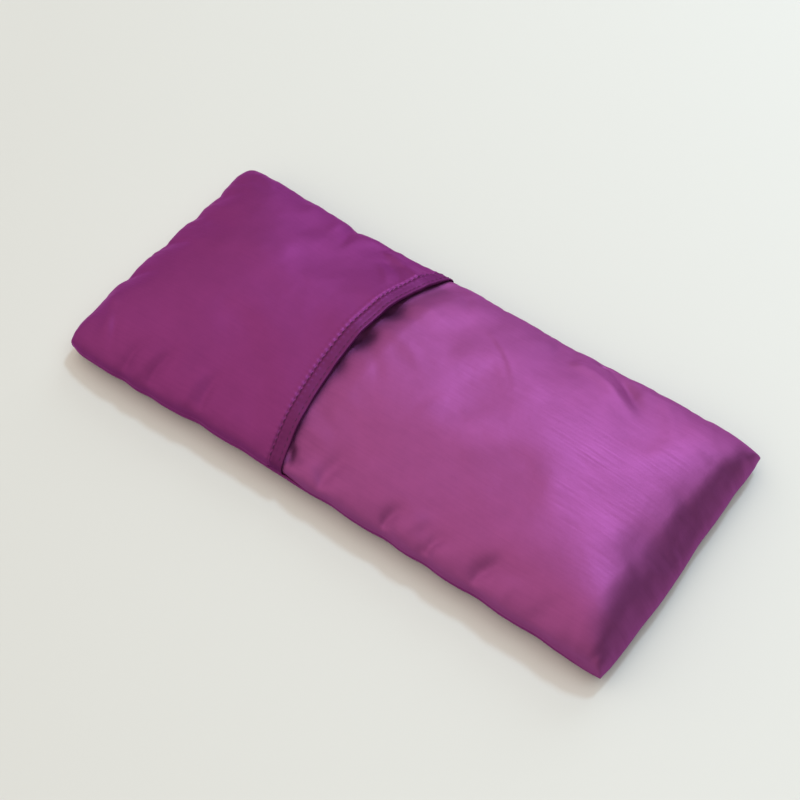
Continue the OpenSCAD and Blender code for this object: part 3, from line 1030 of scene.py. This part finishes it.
def bud_shape():
    """One dried lavender calyx: a ribbed tube that swells, narrows and opens in small teeth."""
    ring = np.linspace(0, 2 * math.pi, 16, endpoint=False)
    rows = []
    for at, wide in ((-2.4, 0.35), (-2.0, 0.62), (-1.2, 0.88), (-0.2, 1.0), (0.9, 0.92),
                     (1.8, 0.74), (2.3, 0.80)):
        ribs = 1 + 0.09 * np.cos(8 * ring)
        teeth = 0.25 * np.cos(4 * ring) * (at > 2)
        rows.append(np.stack([at + teeth, np.cos(ring) * wide * ribs, np.sin(ring) * wide * ribs], 1))
    rows.append(np.stack([np.full(16, 1.7), np.cos(ring) * 0.4, np.sin(ring) * 0.4], 1))
    co = np.concatenate(rows + [[[-2.55, 0, 0]], [[1.6, 0, 0]]]) * MM
    faces = []
    for r in range(7):
        for k in range(16):
            a, b = r * 16 + k, r * 16 + (k + 1) % 16
            faces.append((a, b, b + 16, a + 16))
    for k in range(16):
        faces.append(((k + 1) % 16, k, 128, -1))
        faces.append((112 + k, 112 + (k + 1) % 16, 129, -1))
    return co, np.array(faces)


bud_u, bud_v = np.meshgrid(np.linspace(-66, 66, 9) * MM, np.linspace(-20, 20, 4) * MM, indexing="ij")
bud_u, bud_v = bud_u.ravel(), bud_v.ravel()
count = len(bud_u)
shape, faces = bud_shape()
buds = merged("lavender_calyxes", [scattered(
    shape, faces, True, bud_u, bud_v, core_form, np.radians(137.5) * np.arange(count), np.zeros(count),
    np.full(count, 0.5 * MM), rng_seed.uniform(0.9, 1.05, count))], dry_bud)
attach(buds, "insert")
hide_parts("lavender_buds")


# ---------------------------------------------------------------- floor, camera, light

def lay_floor():
    material, tree, shader = new_material("pale_table_painted_light")
    where = tree.nodes.new("ShaderNodeTexCoord").outputs["Object"]
    # The table is lighter towards the right and the far side: painted light falling across it
    across = tree.nodes.new("ShaderNodeTexGradient")
    tree.links.new(stretched(tree, where, (1.6, 1.6, 1.6), math.radians(-25), 0.5), across.inputs["Vector"])
    stops = [(0.2, (0.62, 0.632, 0.622)), (0.9, (0.70, 0.73, 0.735))]
    tree.links.new(ramp(tree, across.outputs["Color"], stops), shader.inputs["Base Color"])
    tree.links.new(bump(tree, noise(tree, where, 60, 4), 0.1, 0.0004), shader.inputs["Normal"])
    shader.inputs["Roughness"].default_value = 0.7
    shader.inputs["Specular IOR Level"].default_value = 0.2
    mesh = bpy.data.meshes.new("table_top")
    reach = 40.0
    corners = [(-reach, -reach, 0), (reach, -reach, 0), (reach, reach, 0), (-reach, reach, 0)]
    mesh.from_pydata(corners, [], [(0, 1, 2, 3)])
    mesh.materials.append(material)
    obj = bpy.data.objects.new("table_top", mesh)
    bpy.context.scene.collection.objects.link(obj)
    obj.location.z = -0.0002


lay_floor()


def place_camera():
    azimuth, elevation, roll = (math.radians(a) for a in (38.21, 55.23, -2.03))
    back = Vector((math.sin(azimuth) * math.cos(elevation), -math.cos(azimuth) * math.cos(elevation),
                   math.sin(elevation)))
    right = Vector((math.cos(azimuth), math.sin(azimuth), 0))
    up = back.cross(right)
    rolled_right = right * math.cos(roll) + up * math.sin(roll)
    rolled_up = up * math.cos(roll) - right * math.sin(roll)
    data = bpy.data.cameras.new("camera")
    data.sensor_width, data.lens = 36, 77.1
    data.clip_start, data.clip_end = 0.05, 20
    camera = bpy.data.objects.new("camera", data)
    bpy.context.scene.collection.objects.link(camera)
    place = Vector((-0.00086, -0.00277, SEAM_Z)) + back * 0.5983
    turned = Matrix((rolled_right, rolled_up, back)).transposed().to_4x4()
    camera.matrix_world = Matrix.Translation(place) @ turned
    bpy.context.scene.camera = camera


place_camera()


def area_light(name, place, target, size, power, color):
    data = bpy.data.lights.new(name, "AREA")
    data.shape, data.size, data.energy, data.color = "DISK", size, power, color
    obj = bpy.data.objects.new(name, data)
    bpy.context.scene.collection.objects.link(obj)
    obj.location = place
    obj.rotation_euler = (Vector(target) - Vector(place)).to_track_quat("-Z", "Y").to_euler()


area_light("key", (-0.05, 1.18, 1.68), (0, 0, 0), 0.3, 11.8, (0.60, 0.84, 1.0))
area_light("window", (-0.25, 1.95, 0.9), (0, 0, 0), 1.4, 11.5, (0.84, 0.94, 1.0))
area_light("overhead", (1.0, 0.8, 1.9), (0, 0, 0), 1.6, 7, (0.62, 0.86, 1.0))

world = bpy.data.worlds.new("room")
bpy.context.scene.world = world
world.use_nodes = True
sky = world.node_tree
toward = sky.nodes.new("ShaderNodeTexCoord").outputs["Generated"]
slope = sky.nodes.new("ShaderNodeTexGradient")
tilted_sky = stretched(sky, toward, (0.5, 0.5, 0.5), math.radians(165), 0.5, math.radians(-60))
sky.links.new(tilted_sky, slope.inputs["Vector"])
sky.links.new(ramp(sky, slope.outputs["Color"], [(0.45, (0.03, 0.03, 0.03)), (0.95, (1.0, 0.88, 0.75))]),
              sky.nodes["Background"].inputs["Color"])
sky.nodes["Background"].inputs["Strength"].default_value = 1.38
backdrop = sky.nodes.new("ShaderNodeBackground")
backdrop.inputs["Color"].default_value = (0.62, 0.63, 0.62, 1.0)
seen = sky.nodes.new("ShaderNodeMixShader")
sky.links.new(sky.nodes.new("ShaderNodeLightPath").outputs["Is Camera Ray"], seen.inputs["Fac"])
sky.links.new(sky.nodes["Background"].outputs["Background"], seen.inputs[1])
sky.links.new(backdrop.outputs["Background"], seen.inputs[2])
sky.links.new(seen.outputs["Shader"], sky.nodes["World Output"].inputs["Surface"])
bpy.context.scene.view_settings.view_transform = "Standard"
